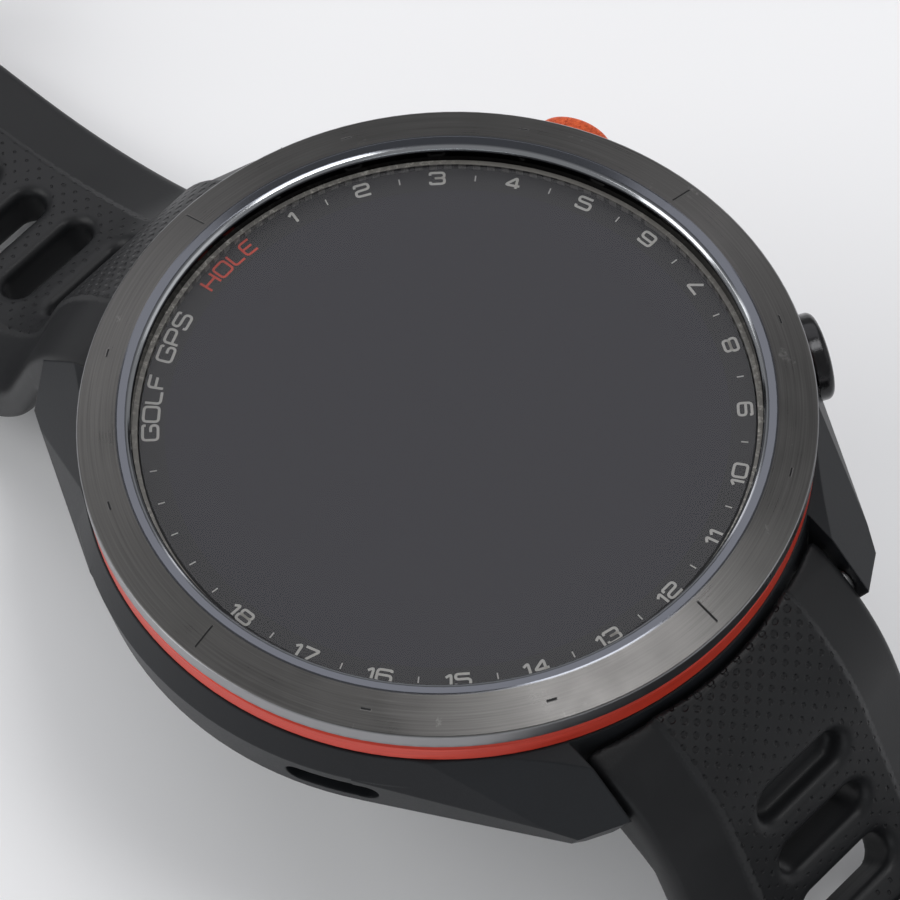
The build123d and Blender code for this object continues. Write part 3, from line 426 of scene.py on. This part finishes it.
# strokes of plain squared characters in a box one high; x runs to each one's width
GLYPHS = {
    "0": (1.0, [[(0, 0), (1.0, 0), (1.0, 1), (0, 1), (0, 0)]]),
    "1": (0.36, [[(0, 0.72), (0.34, 1), (0.34, 0)]]),
    "2": (0.95, [[(0, 0.76), (0, 1), (0.95, 1), (0.95, 0.52), (0, 0.48), (0, 0), (0.97, 0)]]),
    "3": (0.95, [[(0, 0.78), (0, 1), (0.95, 1), (0.95, 0.52), (0.3, 0.52)], [(0.3, 0.52), (0.95, 0.52), (0.95, 0), (0, 0), (0, 0.22)]]),
    "4": (0.98, [[(0.74, 0), (0.74, 1), (0, 0.25), (0.98, 0.25)]]),
    "5": (0.95, [[(0.92, 1), (0, 1), (0, 0.56), (0.95, 0.58), (0.95, 0), (0, 0), (0, 0.2)]]),
    "6": (0.95, [[(0.92, 0.84), (0.92, 1), (0, 1), (0, 0), (0.95, 0), (0.95, 0.56), (0, 0.56)]]),
    "7": (0.9, [[(0, 1), (0.9, 1), (0.9, 0.9), (0.36, 0)]]),
    "8": (0.98, [[(0.06, 0.53), (0.06, 1), (0.92, 1), (0.92, 0.53), (0.06, 0.53)], [(0, 0.53), (0.98, 0.53), (0.98, 0), (0, 0), (0, 0.53)]]),
    "9": (0.95, [[(0.03, 0.16), (0.03, 0), (0.95, 0), (0.95, 1), (0, 1), (0, 0.44), (0.95, 0.44)]]),
    "G": (1.0, [[(1.0, 0.8), (1.0, 1), (0, 1), (0, 0), (1.0, 0), (1.0, 0.48), (0.55, 0.48)]]),
    "O": (1.0, [[(0, 0), (1.0, 0), (1.0, 1), (0, 1), (0, 0)]]),
    "L": (0.8, [[(0, 1), (0, 0), (0.8, 0)]]),
    "F": (0.85, [[(0, 0), (0, 1), (0.85, 1)], [(0, 0.52), (0.72, 0.52)]]),
    "P": (0.95, [[(0, 0), (0, 1), (0.95, 1), (0.95, 0.42), (0, 0.42)]]),
    "S": (0.95, [[(0.93, 0.8), (0.93, 1), (0, 1), (0, 0.53), (0.95, 0.5), (0.95, 0), (0, 0), (0, 0.2)]]),
    "H": (0.95, [[(0, 0), (0, 1)], [(0.95, 0), (0.95, 1)], [(0, 0.52), (0.95, 0.52)]]),
    "E": (0.85, [[(0.85, 1), (0, 1), (0, 0), (0.87, 0)], [(0, 0.52), (0.75, 0.52)]]),
    " ": (0.5, []),
}


class Ribbons:
    """Flat strokes of one width, collected in one mesh."""

    def __init__(self, width, z):
        self.verts, self.faces, self.width, self.z = [], [], width, z

    def stroke(self, pts):
        pts = [Vector(p) for p in pts]
        closed = (pts[0] - pts[-1]).length < 1e-6
        start = len(self.verts)
        for i, p in enumerate(pts):
            before = pts[i - 1] if i else (pts[-2] if closed else None)
            after = pts[i + 1] if i + 1 < len(pts) else (pts[1] if closed else None)
            a = (p - before).normalized() if before is not None else (after - p).normalized()
            b = (after - p).normalized() if after is not None else a
            t = (a + b).normalized()
            side = Vector((-t.y, t.x)) * (self.width / 2 / max(0.6, t.dot(a)))
            for q in (p + side, p - side):
                self.verts.append((q.x * MM, q.y * MM, self.z * MM))
        for i in range(len(pts) - 1):
            k = start + 2 * i
            self.faces.append((k, k + 1, k + 3, k + 2))

    def word(self, text, angle, radius, height, tops_out, gap=0.32, stretch=1.0):
        """Text set round the dial, centred on a clock angle."""
        widths = [GLYPHS[c][0] * height * stretch for c in text]
        total = sum(widths) + gap * height * (len(text) - 1)
        way = 1 if tops_out else -1
        at = -total / 2
        for c, width in zip(text, widths):
            mid = math.radians(angle) + way * (at + width / 2) / radius
            out = Vector((math.sin(mid), math.cos(mid)))
            across = Vector((out.y, -out.x)) * way
            up = out * way
            centre = out * radius
            for line in GLYPHS[c][1]:
                pts = rounded(line, 0.24)
                self.stroke([centre + across * (p.x * height * stretch - width / 2) + up * ((p.y - 0.5) * height)
                             for p in pts])
            at += width + gap * height


PRINT_Z = LENS_TOP - 0.56
PRINT_R = 18.86
white = Ribbons(0.18, PRINT_Z)
for hole in range(1, 19):
    white.word(str(hole), 15.0 * hole, PRINT_R, 0.86, hole <= 5, stretch=1.12)
white.word("GOLF GPS", 329.5, PRINT_R, 0.98, True, gap=0.3, stretch=1.12)
red = Ribbons(0.16, PRINT_Z)
red.word("HOLE", 358.5, PRINT_R, 0.98, True, gap=0.3, stretch=1.0)
ticks = Ribbons(0.09, PRINT_Z)
tick_angles = [22.5 + 15.0 * i for i in range(17)] + [277.5, 285.0, 292.5, 300.0, 307.5]
for angle in tick_angles:
    out = Vector((math.sin(math.radians(angle)), math.cos(math.radians(angle))))
    ticks.stroke([out * (PRINT_R - 0.225), out * (PRINT_R + 0.225)])
new_piece("ring_numbers", white.verts, white.faces, print_ink("ink_white", (0.62, 0.61, 0.58)), "watch_case", False)
new_piece("ring_word", red.verts, red.faces, print_ink("ink_red", (0.78, 0.07, 0.03)), "watch_case", False)
new_piece("ring_ticks", ticks.verts, ticks.faces, print_ink("ink_grey", (0.5, 0.49, 0.47)), "watch_case", False)


def flat_ring(name, inner, outer, z, material, count=256, rings=3):
    verts, faces = [], []
    for j in range(rings + 1):
        r = inner + (outer - inner) * j / rings
        for i in range(count):
            a = 2 * math.pi * i / count
            verts.append((r * math.cos(a) * MM, r * math.sin(a) * MM, z * MM))
    for j in range(rings):
        for i in range(count):
            k = (i + 1) % count
            faces.append((j * count + i, (j + 1) * count + i, (j + 1) * count + k, j * count + k))
    return new_piece(name, verts, faces, material, "watch_case")


mask = grainy("mask_ink", (0.0035, 0.0035, 0.004), (0.006, 0.006, 0.007), 0.35, 8000.0, 0.000005)
flat_ring("lens_mask", 17.95, LENS_R - 0.06, PRINT_Z - 0.02, mask.mat)
flat_ring("display_face", 0.01, 17.98, PRINT_Z - 0.03, MADE["display"])


# ------------------------------------------------------------ strap halves
# Each half is a smooth solid worked out on a fine grid: positions along the strap follow the same
# crown, steep run and foot as the frame's strap, and depth is counted down from its top face.
CROWN_R, START_SLOPE, STEEP, BACK_SLOPE = 15.3, math.radians(30), math.radians(67), math.radians(22)
STRAP_T, SHOULDER_END_R, HUB_R = 3.6, 23.65, 2.1
PLATEAU, STEP, EDGE_DROP = 6.4, 0.35, 1.7
TOP_START = (23.7, 8.95)
SLOT_LEN, SLOT_W, SLOT_PITCH = 7.6, 2.4, SLOT_GAP


def strap_line(flat_top, foot_r, settle, settle_r, end_y, step=0.1):
    """Points (y, z, slope, s) along the middle of the top face; s is 0 where the crown starts."""
    crown_drop = CROWN_R * (math.cos(START_SLOPE) - math.cos(STEEP))
    drop = TOP_START[1] - crown_drop - flat_top
    foot_drop = foot_r * (math.cos(settle) - math.cos(STEEP))
    run = (drop - foot_drop - settle_r * (1 - math.cos(settle))) / math.sin(STEEP)
    parts = [(5.0, BACK_SLOPE, BACK_SLOPE), (CROWN_R * (STEEP - START_SLOPE), START_SLOPE, STEEP),
             (run, STEEP, STEEP), (foot_r * (STEEP - settle), STEEP, settle), (settle_r * settle, settle, 0.0)]
    y = TOP_START[0] - 5.0 * math.cos(BACK_SLOPE)
    z = TOP_START[1] + 5.0 * math.sin(BACK_SLOPE)
    s, rows = -5.0, []
    marks = []
    for length, a, b in parts + [(400.0, 0.0, 0.0)]:
        if length <= 0:
            continue
        count = max(1, int(round(length / step)))
        for i in range(count):
            slope = a + (b - a) * (i + 0.5) / count
            rows.append((y, z, a + (b - a) * i / count, s))
            y += math.cos(slope) * length / count
            z -= math.sin(slope) * length / count
            s += length / count
            if y > end_y + 3:
                break
        marks.append(s)
        if y > end_y + 3:
            break
    return np.array(rows, np.float32), marks[1]


def soft_max(a, b, k):
    h = np.clip(k - np.abs(a - b), 0, None) / k
    return np.maximum(a, b) + h * h * k * 0.25


def soft_min(a, b, k):
    return -soft_max(-a, -b, k)


def hull_field(points, y, z):
    """Signed distance to a convex outline, near enough outside its corners."""
    pts = sorted(set((round(p[0], 4), round(p[1], 4)) for p in points))

    def half(seq):
        out = []
        for p in seq:
            while len(out) > 1 and ((out[-1][0] - out[-2][0]) * (p[1] - out[-2][1])
                                    - (out[-1][1] - out[-2][1]) * (p[0] - out[-2][0])) <= 0:
                out.pop()
            out.append(p)
        return out[:-1]

    loop = half(pts) + half(pts[::-1])
    field = np.full(y.shape, -1e9, np.float32)
    for (y0, z0), (y1, z1) in zip(loop, loop[1:] + loop[:1]):
        length = math.hypot(y1 - y0, z1 - z0)
        ny, nz = (z1 - z0) / length, -(y1 - y0) / length
        field = np.maximum(field, (y - y0) * ny + (z - z0) * nz)
    return field


def strap_field(line, crown_s, axes, slots, blind, end):
    xs, ys, zs = axes
    yy, zz = np.meshgrid(ys, zs, indexing="ij")
    flat_y, flat_z = yy.ravel(), zz.ravel()
    s2 = np.empty(flat_y.size, np.float32)
    d2 = np.empty(flat_y.size, np.float32)
    for i in range(0, flat_y.size, 4000):
        dy = flat_y[i:i + 4000, None] - line[None, :, 0]
        dz = flat_z[i:i + 4000, None] - line[None, :, 1]
        k = np.argmin(dy * dy + dz * dz, axis=1)
        rows = np.arange(k.size)
        along = dy[rows, k] * np.cos(line[k, 2]) - dz[rows, k] * np.sin(line[k, 2])
        s2[i:i + 4000] = line[k, 3] + along
        d2[i:i + 4000] = -(dy[rows, k] * np.sin(line[k, 2]) + dz[rows, k] * np.cos(line[k, 2]))
    s2, d2 = s2.reshape(yy.shape), d2.reshape(yy.shape)
    crown = line[(line[:, 3] >= 0) & (line[:, 3] <= crown_s)]
    end_row = crown[-1]
    under = (end_row[0] - STRAP_T * math.sin(end_row[2]), end_row[1] - STRAP_T * math.cos(end_row[2]))
    ring = [(PIN_Y + HUB_R * math.cos(a), PIN_Z + HUB_R * math.sin(a)) for a in np.linspace(0, 2 * math.pi, 48)]
    lifted = [(r[0] + 1.8 * math.sin(r[2]), r[1] + 1.8 * math.cos(r[2])) for r in crown]
    root = hull_field([(line[10, 0], line[10, 1] + 1.8)] + lifted + [under] + ring, yy, zz)
    pin_d = np.hypot(yy - PIN_Y, zz - PIN_Z)
    lower = np.maximum(np.maximum(yy - PIN_Y, zz - PIN_Z), HUB_R - pin_d)
    root = np.maximum(root, -lower)
    band = np.maximum(d2 - STRAP_T, crown_s - 1.6 - s2)
    side = soft_min(root, band, 0.6)[None]
    s3, d3 = s2[None], d2[None]
    ax = np.abs(xs)[:, None, None]
    fall = STEP + (EDGE_DROP - STEP) * (ax - PLATEAU) / (BAND_HALF - PLATEAU)
    rise = np.clip((ax - PLATEAU + 0.35) / 0.35, 0, 1)
    top = np.where(ax > PLATEAU, fall, STEP * rise * rise * (3 - 2 * rise))
    field = soft_max(top - d3, np.broadcast_to(side, (xs.size,) + yy.shape), 0.7)
    field = soft_max(field, ax - BAND_HALF, 0.8)
    field = soft_max(field, SHOULDER_END_R + 0.02 - np.hypot(xs[:, None, None], yy[None]), 0.6)
    for i, slot_s in enumerate(slots):
        near = np.abs(s3 - slot_s) < SLOT_W + 1.5
        cols = near.any(axis=(0, 2))
        lo, hi = np.argmax(cols), cols.size - np.argmax(cols[::-1])
        part = (slice(None), slice(lo, hi))
        q = np.clip(ax - (SLOT_LEN - SLOT_W) / 2, 0, None)
        gap = np.hypot(q, s3[:, lo:hi] - slot_s) - SLOT_W / 2
        if i < blind:
            gap = soft_max(gap + 0 * d3[:, lo:hi], d3[:, lo:hi] - 1.6, 0.6)
        gap = np.maximum(gap, -d3[:, lo:hi] - 3.0)
        keep = np.abs(s3[:, lo:hi] - slot_s) < SLOT_W + 1.4
        field[part] = np.where(keep, soft_max(field[part], -gap, 0.9), field[part])
    return end(field, xs[:, None, None], yy[None], zz[None]), s2, d2


def surface_net(field, axes):
    """Quads and points of the field's zero surface."""
    xs, ys, zs = axes
    step = float(xs[1] - xs[0])
    inside = field < 0
    corner = [(i, j, k) for i in (0, 1) for j in (0, 1) for k in (0, 1)]
    shape = tuple(n - 1 for n in field.shape)

    def cut(array, c):
        return array[c[0]:c[0] + shape[0], c[1]:c[1] + shape[1], c[2]:c[2] + shape[2]]

    total = sum(cut(inside, c).astype(np.int8) for c in corner)
    active = (total > 0) & (total < 8)
    cells = np.argwhere(active)
    index = np.full(shape, -1, np.int64)
    index[active] = np.arange(len(cells))
    values = {c: field[tuple((cells + c).T)] for c in corner}
    points = np.zeros((len(cells), 3))
    count = np.zeros(len(cells))
    for a in corner:
        for axis in range(3):
            if a[axis]:
                continue
            b = tuple(1 if n == axis else v for n, v in enumerate(a))
            va, vb = values[a], values[b]
            hit = (va < 0) != (vb < 0)
            t = va[hit] / (va[hit] - vb[hit])
            p = np.tile(np.array(a, float), (hit.sum(), 1))
            p[:, axis] = t
            points[hit] += p
            count[hit] += 1
    points = cells + points / count[:, None]
    quads = []
    for axis in range(3):
        low = tuple(slice(0, -1) if n == axis else slice(1, -1) for n in range(3))
        high = tuple(slice(1, None) if n == axis else slice(1, -1) for n in range(3))
        change = inside[low] != inside[high]
        at = np.argwhere(change) + [0 if n == axis else 1 for n in range(3)]
        forward = inside[low][change]
        u, v = [n for n in range(3) if n != axis]
        eu, ev = np.eye(3, dtype=int)[u], np.eye(3, dtype=int)[v]
        four = [index[tuple((at - d).T)] for d in (eu * 0, eu, eu + ev, ev)]
        quad = np.stack(four, 1)
        flip = forward if axis == 1 else ~forward
        quad[flip] = quad[flip][:, ::-1]
        quads.append(quad)
    quads = np.concatenate(quads)

    def sample(pts):
        base = np.clip(np.floor(pts).astype(int), 0, np.array(field.shape) - 2)
        f = pts - base
        value = np.zeros(len(pts))
        grad = np.zeros_like(pts)
        for c in corner:
            v = field[tuple((base + c).T)]
            w = [f[:, n] if c[n] else 1 - f[:, n] for n in range(3)]
            value += v * w[0] * w[1] * w[2]
            for n in range(3):
                o = [m for m in range(3) if m != n]
                grad[:, n] += v * (1 if c[n] else -1) * w[o[0]] * w[o[1]]
        return value, grad

    for _ in range(3):
        value, grad = sample(points)
        size = np.clip((grad ** 2).sum(1), 1e-4, None)
        move = -(value / size)[:, None] * grad
        points += np.clip(move, -0.4, 0.4)
    normal = -sample(points)[1]
    normal /= np.clip(np.linalg.norm(normal, axis=1), 1e-9, None)[:, None]
    origin = np.array([xs[0], ys[0], zs[0]])
    return origin + points * step, quads, -normal


def strap_piece(name, node, body, line, crown_s, slots, blind, end, sign, limit_y, cell=0.25):
    low, high = node_box(node)
    xs = np.arange(-BAND_HALF - 0.8, BAND_HALF + 0.8, cell, dtype=np.float32)
    ys = np.arange(20.4, limit_y + 1.2, cell, dtype=np.float32)
    zs = np.arange(low[2] - 0.8, high[2] + 0.9, cell, dtype=np.float32)
    field, s2, d2 = strap_field(line, crown_s, (xs, ys, zs), slots, blind, end)
    points, quads, normals = surface_net(field, (xs, ys, zs))
    iy = np.clip(np.round((points[:, 1] - ys[0]) / cell).astype(int), 0, len(ys) - 1)
    iz = np.clip(np.round((points[:, 2] - zs[0]) / cell).astype(int), 0, len(zs) - 1)
    along = s2[iy, iz]
    along = along - slots[0]
    depth = d2[iy, iz]
    uv = np.stack([points[:, 0] / 100 + 0.5, along / 200], 1)
    if sign < 0:
        points = points * [1, -1, 1]
        normals = normals * [1, -1, 1]
        quads = quads[:, ::-1]
    mesh = bpy.data.meshes.new(name)
    mesh.vertices.add(len(points))
    mesh.vertices.foreach_set("co", (points * MM).astype(np.float32).ravel())
    mesh.loops.add(quads.size)
    mesh.loops.foreach_set("vertex_index", quads.ravel().astype(np.int32))
    mesh.polygons.add(len(quads))
    mesh.polygons.foreach_set("loop_start", np.arange(0, quads.size, 4, dtype=np.int32))
    mesh.polygons.foreach_set("loop_total", np.full(len(quads), 4, np.int32))
    mesh.update(calc_edges=True)
    mesh.validate()
    layer = mesh.uv_layers.new(name="flow")
    picked = np.empty(len(mesh.loops), np.int32)
    mesh.loops.foreach_get("vertex_index", picked)
    layer.data.foreach_set("uv", uv[picked].astype(np.float32).ravel())
    below = mesh.attributes.new("below_top", "FLOAT", "POINT")
    below.data.foreach_set("value", depth.astype(np.float32))
    mesh.polygons.foreach_set("use_smooth", np.ones(len(mesh.polygons), bool))
    mesh.normals_split_custom_set_from_vertices([tuple(v) for v in normals])
    obj = bpy.data.objects.new(name, mesh)
    bpy.context.scene.collection.objects.link(obj)
    mesh.materials.append(MADE["strap"])
    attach(obj, body)
    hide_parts(node)
    return obj


def tail_end(field, x, y, z):
    """Rounded tip of the tail."""
    r = 8.0
    qx = np.clip(np.abs(x) - (BAND_HALF - r), 0, None)
    qy = np.clip(y - (TAIL_Y - r), 0, None)
    tip = np.hypot(qx, qy) - r
    return soft_max(field, tip + 0 * z, 0.8)


def buckle_end(field, x, y, z):
    """Barrel on the buckle pin, with the notch for the tongue."""
    barrel = np.hypot(y - BUCKLE_Y, z - BUCKLE_Z) - 1.8
    barrel = soft_max(barrel + 0 * x, np.abs(x) - BAND_HALF, 0.5)
    field = soft_min(np.maximum(field, y - BUCKLE_Y), barrel, 0.8)
    notch = np.maximum(np.abs(x) - 3.85, BUCKLE_Y - 1.95 - y)
    return soft_max(field, -notch + 0 * z, 0.3)


tail_line, tail_crown = strap_line(FLOOR_Z + STRAP_T, 7.5, 0.0, 0.0, TAIL_Y)
buckle_line, buckle_crown = strap_line(FLOOR_Z + 1.2 + STRAP_T, 7.4, math.radians(18), 45.0, BUCKLE_Y)
strap_piece("strap_tail", "strap_6", "strap_half_6", tail_line, tail_crown,
            [9.9 + SLOT_PITCH * i for i in range(21)], 1, tail_end, -1, TAIL_Y)
strap_piece("strap_buckle_side", "strap_12", "strap_half_12", buckle_line, buckle_crown,
            [12.9 + SLOT_PITCH * i for i in range(6)], 0, buckle_end, 1, BUCKLE_Y + 1.8)


# ------------------------------------------------------------ floor, light and camera
def floor():
    n = Nodes("pale_paper")
    n.set(Base_Color=(0.86, 0.86, 0.87), Roughness=0.7)
    mesh = bpy.data.meshes.new("floor")
    r = 1.9
    z = FLOOR_Z * MM - 0.0002
    mesh.from_pydata([(-r, -r, z), (r, -r, z), (r, r, z), (-r, r, z)], [], [(0, 1, 2, 3)])
    obj = bpy.data.objects.new("floor", mesh)
    bpy.context.scene.collection.objects.link(obj)
    mesh.materials.append(n.mat)
    obj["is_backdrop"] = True


def area(name, at, target, size, power, colour=(1, 1, 1)):
    data = bpy.data.lights.new(name, "AREA")
    data.shape = "RECTANGLE"
    data.size, data.size_y = size
    data.energy = power
    data.color = colour
    obj = bpy.data.objects.new(name, data)
    bpy.context.scene.collection.objects.link(obj)
    obj.location = at
    obj.rotation_euler = (Vector(target) - Vector(at)).to_track_quat("-Z", "Y").to_euler()
    return obj


floor()
world = bpy.data.worlds.new("studio")
bpy.context.scene.world = world
world.use_nodes = True
world.node_tree.nodes["Background"].inputs[0].default_value = (0.97, 0.985, 1.0, 1.0)
WORLD_LIGHT, WORLD_SEEN = 0.36, 0.46     # light it gives, and what is added where the camera sees it
seen = world.node_tree.nodes.new("ShaderNodeLightPath")
lift = world.node_tree.nodes.new("ShaderNodeMath")
lift.operation = "MULTIPLY_ADD"
lift.inputs[1].default_value = WORLD_SEEN
lift.inputs[2].default_value = WORLD_LIGHT
world.node_tree.links.new(seen.outputs["Is Camera Ray"], lift.inputs[0])
world.node_tree.links.new(lift.outputs[0], world.node_tree.nodes["Background"].inputs[1])
area("far_panel", (0.58, 0.64, 0.98), (0, 0, 0), (1.5, 1.1), 6.4, (0.98, 0.97, 1.0))
area("left_panel", (-0.85, 0.80, 0.75), (0, 0, 0), (1.2, 0.9), 9.0)
area("right_panel", (0.80, -0.85, 0.65), (0, 0, 0), (1.0, 0.9), 1.5)
area("overhead", (0.20, -0.20, 1.05), (0, 0, 0), (0.42, 0.30), 2.7)
area("camera_side", (-0.80, -0.76, 0.32), (0, 0, 0), (0.9, 0.16), 1.1, (0.90, 0.96, 1.0))


def camera():
    data = bpy.data.cameras.new("camera")
    data.lens = 291.97
    data.sensor_width = 36.0
    data.clip_start = 0.01
    data.clip_end = 20.0
    obj = bpy.data.objects.new("camera", data)
    bpy.context.scene.collection.objects.link(obj)
    azimuth, elevation, roll, distance = -43.7, 57.62, math.radians(3.93), 0.460144
    a, e = math.radians(azimuth), math.radians(elevation)
    place = Vector((-0.171996, -0.180045, 0.401279))
    forward = Vector((-math.sin(a) * math.cos(e), math.cos(a) * math.cos(e), -math.sin(e))).normalized()
    level = forward.cross(Vector((0, 0, 1))).normalized()
    down = forward.cross(level)
    right = math.cos(roll) * level + math.sin(roll) * down
    low = -math.sin(roll) * level + math.cos(roll) * down
    turn = Matrix((right, -low, -forward)).transposed().to_4x4()
    obj.matrix_world = Matrix.Translation(place) @ turn
    bpy.context.scene.camera = obj


camera()
bpy.context.scene.view_settings.view_transform = "Standard"
{"cad": plain(cad_box), "visual": plain(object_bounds())}
